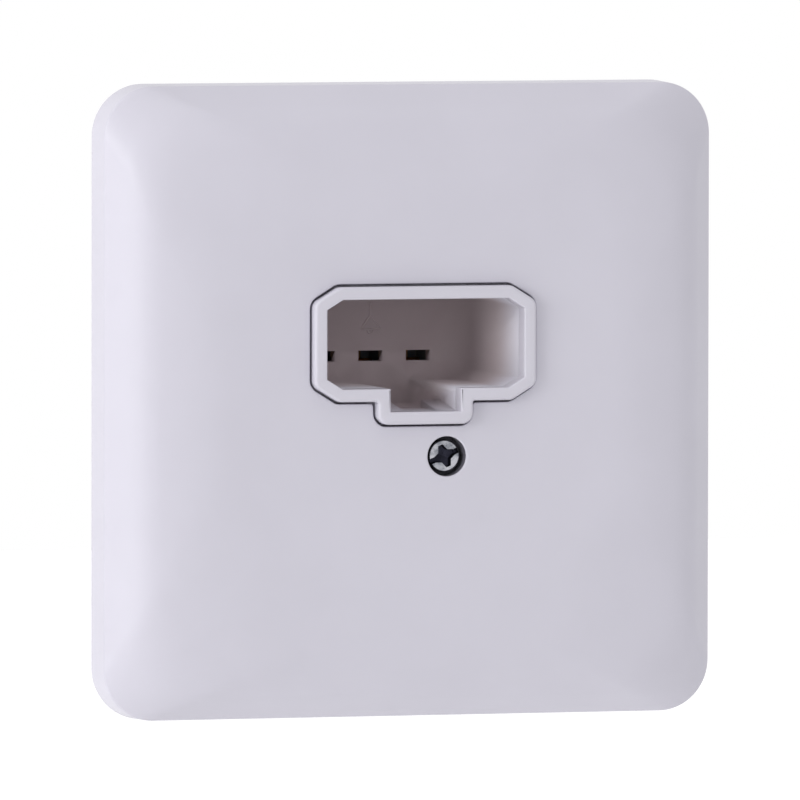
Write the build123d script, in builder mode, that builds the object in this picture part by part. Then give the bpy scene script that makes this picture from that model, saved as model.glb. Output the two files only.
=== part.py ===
from build123d import *
import math
import os

# Wall outlet for a luminaire plug, in millimetres.
# The origin is on the wall, behind the centre of the cover. +X is to the right, +Z is up and the
# room is towards -Y. Heights in this file are measured from the wall towards the room, so a
# height of 5 is at Y = -5, and what lies inside the wall box has a negative height.

# Cover
cover_side = 85.0
cover_corner_radius = 7.0
cover_draft = 0.15
cover_wall = 2.0
edge_height = 5.5
face_height = 12.4
band_slope = math.radians(50)
crease_radius = 8.5
crown_radius = 33.0
crown_run = 15.85
crown_arc = math.radians(60)
front_edge_chamfer = 0.28
rib_thickness = 1.2
rib_height = 4.2
rib_spread = 36.0

# Socket
mouth_height = 13.8
mouth_width = 27.5
mouth_tall = 11.95
mouth_centre_z = 7.95
mouth_chamfer_x = 2.2
mouth_chamfer_z = 1.35
channel_width = 9.85
channel_drop = 3.1
socket_depth = 24.0
socket_floor = 2.0
rim_wall = 1.85
rim_tab_radius = 1.2
rim_edge_radius = 0.45
rim_lip_radius = 0.2
rim_gap = 0.32

# Catches for the plug's latch
catch_gap = 4.6
catch_setback = 2.8
catch_length = 7.2
catch_rise = 1.1

# Contact slots
slot_width = 3.4
slot_tall = 1.45
slot_pitch = 6.7
slot_centre_x = -0.5
slot_drop = 2.75

# Socket flange
flange_thickness = 2.0
flange_corner_radius = 6.0
access_width = 3.8
access_tall = 8.4

# Yoke
yoke_side = 71.0
yoke_thickness = 1.2
yoke_corner_radius = 6.0
yoke_lip_height = 3.4
yoke_lip_length = 38.0
box_screw_spacing = 60.0
box_slot_length = 8.0
box_slot_width = 4.2
window_clearance = 0.6

# Rear housing
housing_side_room = 3.4
housing_top_room = 1.225
housing_bottom_room = 3.0
housing_corner_radius = 8.0
housing_wall = 2.0
rear_wall = 2.0
rear_edge = 1.0
chamber_rib = 1.2
boss_side = 6.8
boss_inset = 4.8
boss_lift = 1.2
step_drop = 1.9
wire_entry_tall = 6.0

# Contacts
strip_thickness = 0.4
contact_width = 3.0
contact_bend_radius = 0.5
contact_lip_spread = 3.2
contact_pinch_spread = 1.0
contact_base_spread = 2.4
contact_depth = 6.8
contact_lip_length = 1.8
contact_clearance = 0.8

# Terminals
terminal_width = 5.0
terminal_length = 9.6
terminal_tall = 6.8
terminal_top_depth = 1.8
terminal_drop = 3.525
terminal_screw_spacing = 4.6
terminal_screw_length = 4.8
terminal_screw_stand = 2.2
wire_way_side = 2.8
wire_way_depth = 4.0

# Screws
thread_radius = 1.5
thread_clearance = 0.03
clearance_hole_radius = 1.7
screw_slot_width = 0.75
screw_slot_depth = 0.7
cross_reach = 2.6
cross_depth = 1.1
cover_screw_x = 3.35
cover_screw_drop = 4.225
cover_screw_setback = 1.1
cover_screw_head_radius = 2.15
cover_screw_head_tall = 2.0
cover_screw_hole_radius = 2.68
cover_screw_head_edge = 0.35
cover_screw_slot_turn = 22.0
cover_boss_wall = 1.9
cover_seat = 1.5
cover_screw_past_yoke = 1.2
nut_side = 5.5
nut_thickness = 1.8
nut_clearance = 0.15
housing_screw_head_radius = 2.75
housing_screw_head_tall = 1.9
housing_screw_length = 13.0

# Earth strap
strap_thickness = 0.5
strap_width = 3.6
strap_reach = 5.2

# Fit between pieces that only clear one another
fit = 0.3

# Worked out from the sizes above
cover_half = cover_side / 2
face_level_half = cover_half - cover_draft - crown_run
crown_centre_height = face_height - crown_radius
crease_reach = (
    crown_run * math.sin(band_slope)
    + (edge_height - crown_centre_height) * math.cos(band_slope)
    - crease_radius
)
crown_slope = band_slope - math.acos(crease_reach / (crown_radius - crease_radius))
crease_half = face_level_half + (crown_radius - crease_radius) * math.sin(crown_slope)
crease_centre_height = crown_centre_height + (crown_radius - crease_radius) * math.cos(crown_slope)
floor_height = mouth_height - socket_depth
socket_back_height = floor_height - socket_floor
flange_front_height = yoke_thickness + flange_thickness
mouth_top_z = mouth_centre_z + mouth_tall / 2
mouth_bottom_z = mouth_centre_z - mouth_tall / 2
channel_bottom_z = mouth_bottom_z - channel_drop
rim_bottom_z = channel_bottom_z - rim_wall
seat_height = face_height - cover_screw_setback - cover_screw_head_tall
post_height = seat_height - cover_seat
contact_front_height = socket_back_height - contact_clearance
contact_back_height = contact_front_height - contact_depth
rear_inner_height = contact_back_height - strip_thickness
rear_height = rear_inner_height - rear_wall
slot_centre_z = mouth_centre_z - slot_drop
cover_screw_z = rim_bottom_z - cover_screw_drop
step_z = rim_bottom_z - step_drop
terminal_front_height = -terminal_top_depth
terminal_back_height = terminal_front_height - terminal_tall
terminal_high_z = step_z - terminal_drop
terminal_low_z = terminal_high_z - terminal_length
terminal_centre_z = (terminal_high_z + terminal_low_z) / 2
tail_height = contact_front_height - strip_thickness / 2
housing_half = mouth_width / 2 + rim_wall + housing_side_room + housing_wall
housing_high_z = mouth_top_z + rim_wall + housing_top_room + housing_wall
housing_low_z = terminal_low_z - housing_bottom_room - housing_wall
housing_tall = housing_high_z - housing_low_z
housing_centre_z = (housing_high_z + housing_low_z) / 2
screw_boss_x = housing_half - boss_inset
screw_boss_z = terminal_centre_z + boss_lift
poles = ("line", "earth", "neutral")
pole_places = {name: slot_centre_x + (i - 1) * slot_pitch for i, name in enumerate(poles)}


def facing_room(height):
    """Plane parallel to the wall: its x is X and its y is Z."""
    return Plane.XZ.offset(height)


def across(z):
    """Plane at a level Z: its x is X and its y is the height from the wall."""
    return Plane(origin=(0, 0, z), x_dir=(1, 0, 0), z_dir=(0, 0, -1))


def upright(x):
    """Plane at a place X: its x is Z and its y is the height from the wall."""
    return Plane(origin=(x, 0, 0), x_dir=(0, 0, 1), z_dir=(1, 0, 0))


def finish(piece, name):
    """Label a piece and write it under its name."""
    piece.part.label = name
    export_step(piece.part, f"parts/{name}.step")


def crown_section(plane, inset):
    """Section of the crown alone: level in the middle, an arc down to each side."""
    with BuildSketch(plane) as section:
        with BuildLine():
            Line((0, face_height - inset), (face_level_half, face_height - inset))
            side = CenterArc(
                (face_level_half, crown_centre_height),
                crown_radius - inset,
                90,
                -math.degrees(crown_arc),
            )
            Polyline(side @ 1, ((side @ 1).X, crown_centre_height), (0, crown_centre_height))
            mirror(about=Plane.YZ)
        make_face()
    return section.sketch


def crown_block(inset):
    """Crowned solid: a level square, cylinders beyond its sides, spheres beyond its corners."""
    with BuildPart() as crown:
        extrude(crown_section(across(0), inset), amount=face_level_half, both=True)
        for side in (-1, 1):
            end = side * face_level_half
            revolve(
                crown_section(across(end), inset),
                axis=Axis((0, -crown_centre_height, end), (-side, 0, 0)),
                revolution_arc=math.degrees(crown_arc),
            )
    return crown.part


def band_section(plane, inset):
    """Section of the whole face: level, the crown's arc, the crease's arc and the band."""
    with BuildSketch(plane) as section:
        with BuildLine():
            Line((0, face_height - inset), (face_level_half, face_height - inset))
            CenterArc(
                (face_level_half, crown_centre_height),
                crown_radius - inset,
                90,
                -math.degrees(crown_slope),
            )
            crease = CenterArc(
                (crease_half, crease_centre_height),
                crease_radius - inset,
                90 - math.degrees(crown_slope),
                -math.degrees(band_slope - crown_slope),
            )
            foot_x = (crease @ 1).X + crease_radius
            foot_height = (crease @ 1).Y - crease_radius * math.tan(band_slope)
            Polyline(crease @ 1, (foot_x, foot_height), (foot_x, -cover_side), (0, -cover_side))
            mirror(about=Plane.YZ)
        make_face()
    return section.sketch


def pillow(inset):
    """Cover block: drafted wall, sloping band, soft crease and crown, all faces inset alike."""
    edge = edge_height + inset * math.tan(band_slope) - inset / math.cos(band_slope)
    edge_half = cover_half - cover_draft - inset
    edge_corner = cover_corner_radius - cover_draft - inset
    band_run = edge_corner / 2
    band_rise = band_run * math.tan(band_slope)
    cap_half = edge_half - band_run
    with BuildPart() as block:
        with BuildSketch(facing_room(0)):
            RectangleRounded(
                2 * (cover_half - inset), 2 * (cover_half - inset), cover_corner_radius - inset
            )
        extrude(amount=edge, taper=math.degrees(math.atan(cover_draft / edge)))
        with BuildSketch(facing_room(edge)):
            RectangleRounded(2 * edge_half, 2 * edge_half, edge_corner)
        extrude(amount=band_rise, taper=90 - math.degrees(band_slope))
        with BuildSketch(facing_room(edge + band_rise)):
            RectangleRounded(2 * cap_half, 2 * cap_half, edge_corner - band_run)
        extrude(amount=face_height - edge - band_rise)
        add(crown_block(inset), mode=Mode.INTERSECT)
        for plane in (across(0), upright(0)):
            extrude(band_section(plane, inset), amount=cover_side, both=True, mode=Mode.INTERSECT)
    return block.part


def keyed_outline(height, grow=0.0, tab_radius=0.0):
    """Outline of the socket's mouth with its latch channel, grown evenly all round."""
    half = mouth_width / 2
    channel_half = channel_width / 2
    with BuildSketch(facing_room(height)) as outline:
        with BuildLine():
            Polyline(
                (0, mouth_top_z),
                (half - mouth_chamfer_x, mouth_top_z),
                (half, mouth_top_z - mouth_chamfer_z),
                (half, mouth_bottom_z + mouth_chamfer_z),
                (half - mouth_chamfer_x, mouth_bottom_z),
                (channel_half, mouth_bottom_z),
                (channel_half, channel_bottom_z),
                (0, channel_bottom_z),
            )
            mirror(about=Plane.YZ)
        make_face()
        if grow > 0:
            offset(amount=grow, kind=Kind.INTERSECTION)
        if tab_radius > 0:
            fillet(outline.vertices().group_by(Axis.Y)[0], radius=tab_radius)
    return outline.sketch


def strip_section(plane, points, thickness):
    """Section of a folded strip of even thickness along a line of points."""
    with BuildSketch(plane) as section:
        with BuildLine():
            FilletPolyline(*points, radius=contact_bend_radius)
            offset(amount=thickness, side=Side.LEFT)
        make_face()
    return section.sketch


os.makedirs("parts", exist_ok=True)

# Front cover: a crowned square shell, keyed for the socket's rim
cover_block = pillow(0)
cover_hollow = pillow(cover_wall)
cover_opening = keyed_outline(0, rim_wall + rim_gap, rim_tab_radius + rim_gap)
with BuildPart() as front_cover:
    add(cover_block)
    front_edge = front_cover.edges().filter_by_position(
        Axis.Y, -edge_height - rim_gap, -edge_height + rim_gap
    )
    chamfer(front_edge, length=front_edge_chamfer)
    add(cover_hollow, mode=Mode.SUBTRACT)
    with BuildSketch(facing_room(0)):
        rib_reach = cover_half - cover_wall - yoke_side / 2 - fit
        rib_centre = yoke_side / 2 + fit + rib_reach / 2
        for turn in range(4):
            with Locations(Rot(0, 0, 90 * turn)):
                with Locations((rib_centre, rib_spread / 2), (rib_centre, -rib_spread / 2)):
                    Rectangle(rib_reach + cover_draft, rib_thickness)
    extrude(amount=rib_height)
    with BuildSketch(facing_room(post_height)):
        with Locations((cover_screw_x, cover_screw_z)):
            Circle(cover_screw_hole_radius + cover_boss_wall)
    extrude(amount=face_height - post_height - cover_wall / 2)
    extrude(cover_opening, amount=2 * face_height, mode=Mode.SUBTRACT)
    with BuildSketch(facing_room(seat_height)):
        with Locations((cover_screw_x, cover_screw_z)):
            Circle(cover_screw_hole_radius)
    extrude(amount=face_height, mode=Mode.SUBTRACT)
    with BuildSketch(facing_room(post_height)):
        with Locations((cover_screw_x, cover_screw_z)):
            Circle(clearance_hole_radius)
    extrude(amount=cover_seat, mode=Mode.SUBTRACT)
finish(front_cover, "front_cover")

# Socket body: keyed tube with its floor and latch catches, on a flange in front of the yoke
with BuildPart() as socket_body:
    extrude(
        keyed_outline(socket_back_height, rim_wall, rim_tab_radius),
        amount=mouth_height - socket_back_height,
    )
    fillet(socket_body.faces().sort_by(Axis.Y)[0].edges(), radius=rim_edge_radius)
    with BuildSketch(facing_room(yoke_thickness)):
        with Locations((0, housing_centre_z)):
            RectangleRounded(2 * housing_half, housing_tall, flange_corner_radius)
        with Locations(*[(side * screw_boss_x, screw_boss_z) for side in (-1, 1)]):
            Circle(clearance_hole_radius, mode=Mode.SUBTRACT)
        with Locations((slot_centre_x, terminal_centre_z)):
            with GridLocations(slot_pitch, 0, len(poles), 1):
                Rectangle(access_width, access_tall, mode=Mode.SUBTRACT)
    extrude(amount=flange_thickness)
    with BuildSketch(facing_room(flange_front_height)):
        with Locations((cover_screw_x, cover_screw_z)):
            Circle(cover_screw_hole_radius + cover_boss_wall)
    extrude(amount=post_height - flange_front_height)
    with BuildSketch(facing_room(yoke_thickness)):
        with Locations((cover_screw_x, cover_screw_z)):
            Circle(clearance_hole_radius)
    extrude(amount=post_height, mode=Mode.SUBTRACT)
    with BuildSketch(facing_room(yoke_thickness)):
        with Locations((cover_screw_x, cover_screw_z)):
            Rectangle(nut_side + 2 * nut_clearance, nut_side + 2 * nut_clearance)
    extrude(amount=nut_thickness + nut_clearance, mode=Mode.SUBTRACT)
    extrude(keyed_outline(floor_height), amount=socket_depth, mode=Mode.SUBTRACT)
    mouth_face = socket_body.faces().filter_by(Plane.XZ).sort_by(Axis.Y)[0]
    fillet(mouth_face.inner_wires().edges(), radius=rim_lip_radius)
    with BuildSketch(facing_room(floor_height)):
        with Locations((slot_centre_x, slot_centre_z)):
            with GridLocations(slot_pitch, 0, len(poles), 1):
                Rectangle(slot_width, slot_tall)
    extrude(amount=-socket_floor, mode=Mode.SUBTRACT)
    catch_width = (channel_width - catch_gap) / 2
    for side in (-1, 1):
        with BuildSketch(upright(side * (channel_width - catch_width) / 2)):
            with BuildLine():
                Polyline(
                    (channel_bottom_z, mouth_height - catch_setback),
                    (channel_bottom_z + catch_rise, mouth_height - catch_setback - catch_length),
                    (channel_bottom_z, mouth_height - catch_setback - catch_length),
                    close=True,
                )
            make_face()
        extrude(amount=catch_width / 2, both=True)
finish(socket_body, "socket_body")

# Mounting yoke: sheet plate with folded lips, screwed to the wall box
window_width = 2 * slot_pitch + terminal_width + 2 * window_clearance
window_tall = terminal_length + 2 * window_clearance
with BuildPart() as mounting_yoke:
    with BuildSketch(facing_room(0)):
        RectangleRounded(yoke_side, yoke_side, yoke_corner_radius)
        with Locations((slot_centre_x, terminal_centre_z)):
            Rectangle(window_width, window_tall, mode=Mode.SUBTRACT)
        with Locations((cover_screw_x, cover_screw_z)):
            Circle(clearance_hole_radius, mode=Mode.SUBTRACT)
        with Locations(*[(side * screw_boss_x, screw_boss_z) for side in (-1, 1)]):
            Circle(clearance_hole_radius, mode=Mode.SUBTRACT)
        with PolarLocations(box_screw_spacing / 2, 4):
            SlotOverall(box_slot_length, box_slot_width, mode=Mode.SUBTRACT)
    extrude(amount=yoke_thickness)
    extrude(keyed_outline(0, rim_wall + fit), amount=yoke_thickness, mode=Mode.SUBTRACT)
    with BuildSketch(facing_room(yoke_thickness)):
        with PolarLocations((yoke_side - yoke_thickness) / 2, 4):
            Rectangle(yoke_thickness, yoke_lip_length)
    extrude(amount=yoke_lip_height - yoke_thickness)
finish(mounting_yoke, "mounting_yoke")

# Rear housing: moulded cup behind the yoke, with a chamber for each pole
rib_low_z = housing_low_z + housing_wall
rib_high_z = slot_centre_z + contact_lip_spread / 2 + 2 * strip_thickness + fit
with BuildPart() as rear_housing:
    with BuildSketch(facing_room(rear_height)):
        with Locations((0, housing_centre_z)):
            RectangleRounded(2 * housing_half, housing_tall, housing_corner_radius)
    extrude(amount=-rear_height)
    with BuildSketch(facing_room(rear_inner_height)):
        with Locations((0, housing_centre_z)):
            RectangleRounded(
                2 * (housing_half - housing_wall),
                housing_tall - 2 * housing_wall,
                housing_corner_radius - housing_wall,
            )
    extrude(amount=-rear_inner_height, mode=Mode.SUBTRACT)
    for i in range(len(poles) + 1):
        rib_x = slot_centre_x + (i - len(poles) / 2) * slot_pitch
        with BuildSketch(upright(rib_x)):
            with BuildLine():
                Polyline(
                    (rib_low_z, rear_inner_height),
                    (rib_high_z, rear_inner_height),
                    (rib_high_z, socket_back_height),
                    (step_z, socket_back_height),
                    (step_z, terminal_front_height),
                    (rib_low_z, terminal_front_height),
                    close=True,
                )
            make_face()
        extrude(amount=chamber_rib / 2, both=True)
    chamber_span = len(poles) * slot_pitch + chamber_rib
    with BuildSketch(facing_room(rear_inner_height)):
        with Locations((slot_centre_x, rib_high_z)):
            Rectangle(chamber_span, chamber_rib)
    extrude(amount=socket_back_height - rear_inner_height)
    with BuildSketch(facing_room(rear_inner_height)):
        with Locations((slot_centre_x, terminal_centre_z)):
            with GridLocations(0, terminal_length - 2 * chamber_rib, 1, 2):
                Rectangle(chamber_span, chamber_rib)
    extrude(amount=terminal_back_height - strip_thickness - rear_inner_height)
    with BuildSketch(facing_room(rear_inner_height)):
        with Locations(*[(side * screw_boss_x, screw_boss_z) for side in (-1, 1)]):
            Rectangle(boss_side, boss_side)
    extrude(amount=-rear_inner_height)
    with BuildSketch(facing_room(0)):
        with Locations(*[(side * screw_boss_x, screw_boss_z) for side in (-1, 1)]):
            Circle(thread_radius + thread_clearance)
    extrude(amount=rear_inner_height, mode=Mode.SUBTRACT)
    with BuildSketch(across(housing_low_z)):
        with Locations((slot_centre_x, terminal_front_height - wire_way_depth)):
            Rectangle(chamber_span - 2 * chamber_rib, wire_entry_tall)
    extrude(amount=-housing_wall, mode=Mode.SUBTRACT)
    chamfer(rear_housing.faces().sort_by(Axis.Y)[-1].outer_wire().edges(), length=rear_edge)
finish(rear_housing, "rear_housing")

# Contacts: one strip each, folded into two leaves behind the slot and led on to the terminal
lip = contact_lip_spread / 2
pinch = contact_pinch_spread / 2
base = contact_base_spread / 2
lip_low = contact_front_height - contact_lip_length
contact_line_points = (
    (slot_centre_z + lip, contact_front_height),
    (slot_centre_z + pinch, lip_low),
    (slot_centre_z + base, contact_back_height),
    (slot_centre_z - base, contact_back_height),
    (slot_centre_z - pinch, lip_low),
    (slot_centre_z - lip, tail_height),
    (step_z - strip_thickness, tail_height),
    (terminal_high_z + strip_thickness + fit, terminal_back_height),
    (terminal_low_z + strip_thickness, terminal_back_height),
)
for name in poles:
    with BuildPart() as contact:
        extrude(
            strip_section(upright(pole_places[name]), contact_line_points, strip_thickness),
            amount=contact_width / 2,
            both=True,
        )
    finish(contact, f"contact_{name}")

# Terminals: brass blocks, each with a square wire way and two clamping screws
for name in poles:
    block_plane = facing_room(terminal_back_height)
    screw_places = [
        (pole_places[name], terminal_centre_z + side * terminal_screw_spacing / 2) for side in (1, -1)
    ]
    with BuildPart() as terminal:
        with BuildSketch(block_plane):
            with Locations((pole_places[name], terminal_centre_z)):
                Rectangle(terminal_width, terminal_length)
        extrude(amount=terminal_tall)
        with BuildSketch(across(terminal_low_z)):
            with Locations((pole_places[name], terminal_front_height - wire_way_depth)):
                Rectangle(wire_way_side, wire_way_side)
        extrude(amount=-terminal_length, mode=Mode.SUBTRACT)
        with BuildSketch(facing_room(terminal_front_height)):
            with Locations(*screw_places):
                Circle(thread_radius + thread_clearance)
        extrude(amount=-wire_way_depth, mode=Mode.SUBTRACT)
    finish(terminal, f"terminal_{name}")
    for place, level in zip(screw_places, ("upper", "lower")):
        with BuildPart() as screw:
            with BuildSketch(facing_room(terminal_front_height + terminal_screw_stand)):
                with Locations(place):
                    Circle(thread_radius)
            extrude(amount=-terminal_screw_length)
            with BuildSketch(facing_room(terminal_front_height + terminal_screw_stand)):
                with Locations(place):
                    Rectangle(2 * thread_radius, screw_slot_width)
            extrude(amount=-screw_slot_depth, mode=Mode.SUBTRACT)
        finish(screw, f"terminal_screw_{name}_{level}")

# Cover screw: pan head with a slot and a cross in one recess
slot_turn = math.radians(cover_screw_slot_turn)
screw_plane = Plane(
    origin=(cover_screw_x, -seat_height, cover_screw_z),
    x_dir=(math.cos(slot_turn), 0, math.sin(slot_turn)),
    z_dir=(0, -1, 0),
)
with BuildPart() as cover_screw:
    with BuildSketch(screw_plane):
        Circle(cover_screw_head_radius)
    extrude(amount=cover_screw_head_tall)
    chamfer(cover_screw.edges().sort_by(Axis.Y)[0], length=cover_screw_head_edge)
    with BuildSketch(screw_plane):
        Circle(thread_radius)
    extrude(amount=-(seat_height + cover_screw_past_yoke))
    with BuildSketch(screw_plane.offset(cover_screw_head_tall)):
        Rectangle(2 * cover_screw_head_radius, screw_slot_width)
    extrude(amount=-screw_slot_depth, mode=Mode.SUBTRACT)
    with BuildSketch(screw_plane.offset(cover_screw_head_tall)):
        Rectangle(cross_reach, screw_slot_width)
        Rectangle(screw_slot_width, cross_reach)
    extrude(amount=-cross_depth, mode=Mode.SUBTRACT)
finish(cover_screw, "cover_screw")

# Cover nut: square nut held in the flange, against the yoke
with BuildPart() as cover_nut:
    with BuildSketch(facing_room(yoke_thickness)):
        with Locations((cover_screw_x, cover_screw_z)):
            Rectangle(nut_side, nut_side)
            Circle(thread_radius + thread_clearance, mode=Mode.SUBTRACT)
    extrude(amount=nut_thickness)
finish(cover_nut, "cover_nut")

# Housing screws: they clamp socket body, yoke and rear housing together
for side, name in ((-1, "left"), (1, "right")):
    place = (side * screw_boss_x, screw_boss_z)
    with BuildPart() as housing_screw:
        with BuildSketch(facing_room(flange_front_height)):
            with Locations(place):
                Circle(housing_screw_head_radius)
        extrude(amount=housing_screw_head_tall)
        with BuildSketch(facing_room(flange_front_height)):
            with Locations(place):
                Circle(thread_radius)
        extrude(amount=-housing_screw_length)
        with BuildSketch(facing_room(flange_front_height + housing_screw_head_tall)):
            with Locations(place):
                Rectangle(2 * housing_screw_head_radius, screw_slot_width)
        extrude(amount=-screw_slot_depth, mode=Mode.SUBTRACT)
    finish(housing_screw, f"housing_screw_{name}")

# Earth strap: strip from the earth terminal to the back of the yoke
strap_points = (
    (terminal_low_z + strap_thickness, terminal_front_height),
    (terminal_high_z, terminal_front_height),
    (terminal_high_z + strap_thickness + fit, -strap_thickness),
    (terminal_high_z + strap_reach, -strap_thickness),
)
with BuildPart() as earth_strap:
    extrude(
        strip_section(upright(pole_places["earth"]), strap_points, strap_thickness),
        amount=strap_width / 2,
        both=True,
    )
    with BuildSketch(facing_room(terminal_front_height)):
        with Locations((pole_places["earth"], terminal_centre_z)):
            SlotCenterToCenter(terminal_screw_spacing, 2 * clearance_hole_radius, rotation=90)
    extrude(amount=strap_thickness, mode=Mode.SUBTRACT)
finish(earth_strap, "earth_strap")
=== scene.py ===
"""Looks of a wall outlet for a luminaire plug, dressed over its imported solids.

The cover, the socket's rim and the cover's screw are worked out as smooth surfaces, the sign on
the socket's floor is put on as thin relief, and every solid that stays gets its own node
material. Lengths are in millimetres until they go into a mesh. Heights are measured from the
wall towards the room, along -Y.
"""
import logging
import math
from dataclasses import dataclass, field
from enum import Enum

import bmesh
import bpy
import numpy as np
from mathutils import Matrix, Vector
from mathutils.geometry import tessellate_polygon


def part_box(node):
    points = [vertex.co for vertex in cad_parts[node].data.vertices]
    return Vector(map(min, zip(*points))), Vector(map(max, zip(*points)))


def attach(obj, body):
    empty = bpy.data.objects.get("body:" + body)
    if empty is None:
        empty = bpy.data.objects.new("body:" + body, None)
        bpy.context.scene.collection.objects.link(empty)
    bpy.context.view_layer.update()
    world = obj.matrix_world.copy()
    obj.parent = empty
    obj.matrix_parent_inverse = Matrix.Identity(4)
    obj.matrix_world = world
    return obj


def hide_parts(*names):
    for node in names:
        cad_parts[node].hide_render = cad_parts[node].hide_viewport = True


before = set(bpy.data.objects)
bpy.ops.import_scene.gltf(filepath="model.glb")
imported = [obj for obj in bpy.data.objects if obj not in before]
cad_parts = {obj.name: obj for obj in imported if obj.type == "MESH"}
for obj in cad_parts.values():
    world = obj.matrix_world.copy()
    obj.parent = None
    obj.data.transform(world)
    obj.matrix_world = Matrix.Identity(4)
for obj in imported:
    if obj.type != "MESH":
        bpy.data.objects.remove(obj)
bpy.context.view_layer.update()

MM = 0.001
BODY = "root"
LOG = logging.getLogger("luminaire_outlet")
MERGE_MM = 0.002
SPECK_MM = 0.0005
SHARP_TURN = math.radians(40.0)
ARC_POINTS = 9


class Facing(Enum):
    """Which side of a grid is its outside."""

    ALONG = 1
    AGAINST = -1


# Meshes


class Skin:
    """Collects grids and flat fills of points, in millimetres, into one closed mesh."""

    def __init__(self) -> None:
        """Starts with no points and no faces."""
        self.points: list[np.ndarray] = []
        self.faces: list[tuple[int, ...]] = []
        self.count: int = 0

    def grid(
        self,
        x: np.ndarray,
        height: np.ndarray,
        z: np.ndarray,
        facing: Facing = Facing.ALONG,
        loop: bool = True,
    ) -> None:
        """Adds a grid of points, rows along the first index and columns along the second.

        Each face joins a point with its next ones along the row, the column and both.

        Args:
            x: the points' X, one value for each row and column.
            height: their height from the wall, which is -Y.
            z: their Z.
            facing: which side is the outside.
            loop: True where the last column joins the first.
        """
        rows, columns = x.shape
        self.points.append(np.stack([x.ravel(), -height.ravel(), z.ravel()], axis=1))
        index = np.arange(rows * columns).reshape(rows, columns) + self.count
        if loop:
            index = np.concatenate([index, index[:, :1]], axis=1)
        quads = np.stack([index[:-1, :-1], index[:-1, 1:], index[1:, 1:], index[1:, :-1]], axis=-1)
        quads = quads.reshape(-1, 4)
        if facing is Facing.AGAINST:
            quads = quads[:, ::-1]
        self.faces.extend(map(tuple, quads.tolist()))
        self.count += rows * columns

    def fill(self, loops: list[np.ndarray], height: float, facing: Facing) -> None:
        """Fills the flat area between an outline and its holes with triangles.

        A triangle whose corners go round the other way than its facing asks is turned over: the
        sign of the cross product of two of its sides tells.

        Args:
            loops: the outline, then each hole, as rows of X and Z.
            height: the height of the flat area from the wall.
            facing: ALONG faces the room, AGAINST faces the wall.
        """
        corners = [np.pad(loop, ((0, 0), (0, 1))).tolist() for loop in loops]
        flat = np.concatenate(loops)
        triangles = np.array(tessellate_polygon(corners))
        a, b, c = (flat[triangles[:, i]] for i in range(3))
        turn = (b[:, 0] - a[:, 0]) * (c[:, 1] - a[:, 1]) - (b[:, 1] - a[:, 1]) * (c[:, 0] - a[:, 0])
        wrong = turn * facing.value < 0
        triangles[wrong] = triangles[wrong][:, ::-1]
        self.points.append(np.stack([flat[:, 0], np.full(len(flat), -height), flat[:, 1]], axis=1))
        self.faces.extend(map(tuple, (triangles + self.count).tolist()))
        self.count += len(flat)

    def build(self, name: str) -> bpy.types.Object:
        """Makes the object, with its doubles merged, its faces outward and its smoothing set.

        Args:
            name: the object's name.

        Returns:
            The new object, at the origin, its place in its mesh.
        """
        mesh = bpy.data.meshes.new(name)
        mesh.from_pydata((np.concatenate(self.points) * MM).tolist(), [], self.faces)
        work = bmesh.new()
        work.from_mesh(mesh)
        bmesh.ops.remove_doubles(work, verts=work.verts, dist=MERGE_MM * MM)
        bmesh.ops.dissolve_degenerate(work, edges=work.edges, dist=SPECK_MM * MM)
        bmesh.ops.recalc_face_normals(work, faces=work.faces)
        work.to_mesh(mesh)
        work.free()
        smooth(mesh)
        piece = bpy.data.objects.new(name, mesh)
        bpy.context.scene.collection.objects.link(piece)
        return piece


def smooth(mesh: bpy.types.Mesh) -> None:
    """Shades a mesh smooth but for edges that turn by more than the sharp turn."""
    mesh.shade_smooth()
    mesh.set_sharp_from_angle(angle=SHARP_TURN)


def round_loop(corners: list[tuple[float, float]], radii: list[float], step: float) -> np.ndarray:
    """A closed outline of straight runs joined by tangent arcs.

    Each arc's centre lies on the corner's bisector, radius over the cosine of half the turn away,
    and its points are spaced evenly by angle.

    Args:
        corners: the outline's corners, anticlockwise.
        radii: the arc's radius at each corner.
        step: the spacing of points along the runs.

    Returns:
        Rows of the two coordinates.
    """
    points = np.array(corners)
    before = points - np.roll(points, 1, axis=0)
    after = np.roll(points, -1, axis=0) - points
    before /= np.linalg.norm(before, axis=1)[:, None]
    after /= np.linalg.norm(after, axis=1)[:, None]
    pieces = []
    for corner, start, end, radius in zip(points, before, after, radii):
        cross = start[0] * end[1] - start[1] * end[0]
        turn = math.atan2(cross, start @ end)
        reach = radius * math.tan(abs(turn) / 2)
        side = math.copysign(1.0, turn)
        centre = corner - start * reach + side * radius * np.array([-start[1], start[0]])
        first = math.atan2(*(corner - start * reach - centre)[::-1])
        angles = first + np.linspace(0.0, turn, ARC_POINTS)
        pieces.append(centre + radius * np.stack([np.cos(angles), np.sin(angles)], axis=1))
    outline = []
    for arc, following in zip(pieces, pieces[1:] + pieces[:1]):
        outline.append(arc)
        run = following[0] - arc[-1]
        parts = max(int(np.linalg.norm(run) / step), 1)
        shares = np.linspace(0.0, 1.0, parts + 1)[1:-1]
        outline.append(arc[-1] + shares[:, None] * run)
    return np.concatenate([part for part in outline if len(part)])


def outward_normals(loop: np.ndarray) -> np.ndarray:
    """Outward normals of an outline, each square to the line between the points beside it.

    Args:
        loop: the outline, anticlockwise, as rows of two coordinates.

    Returns:
        One normal of length one for each point.
    """
    along = np.roll(loop, -1, axis=0) - np.roll(loop, 1, axis=0)
    along /= np.linalg.norm(along, axis=1)[:, None]
    return np.stack([along[:, 1], -along[:, 0]], axis=1)


# Finishes


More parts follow.
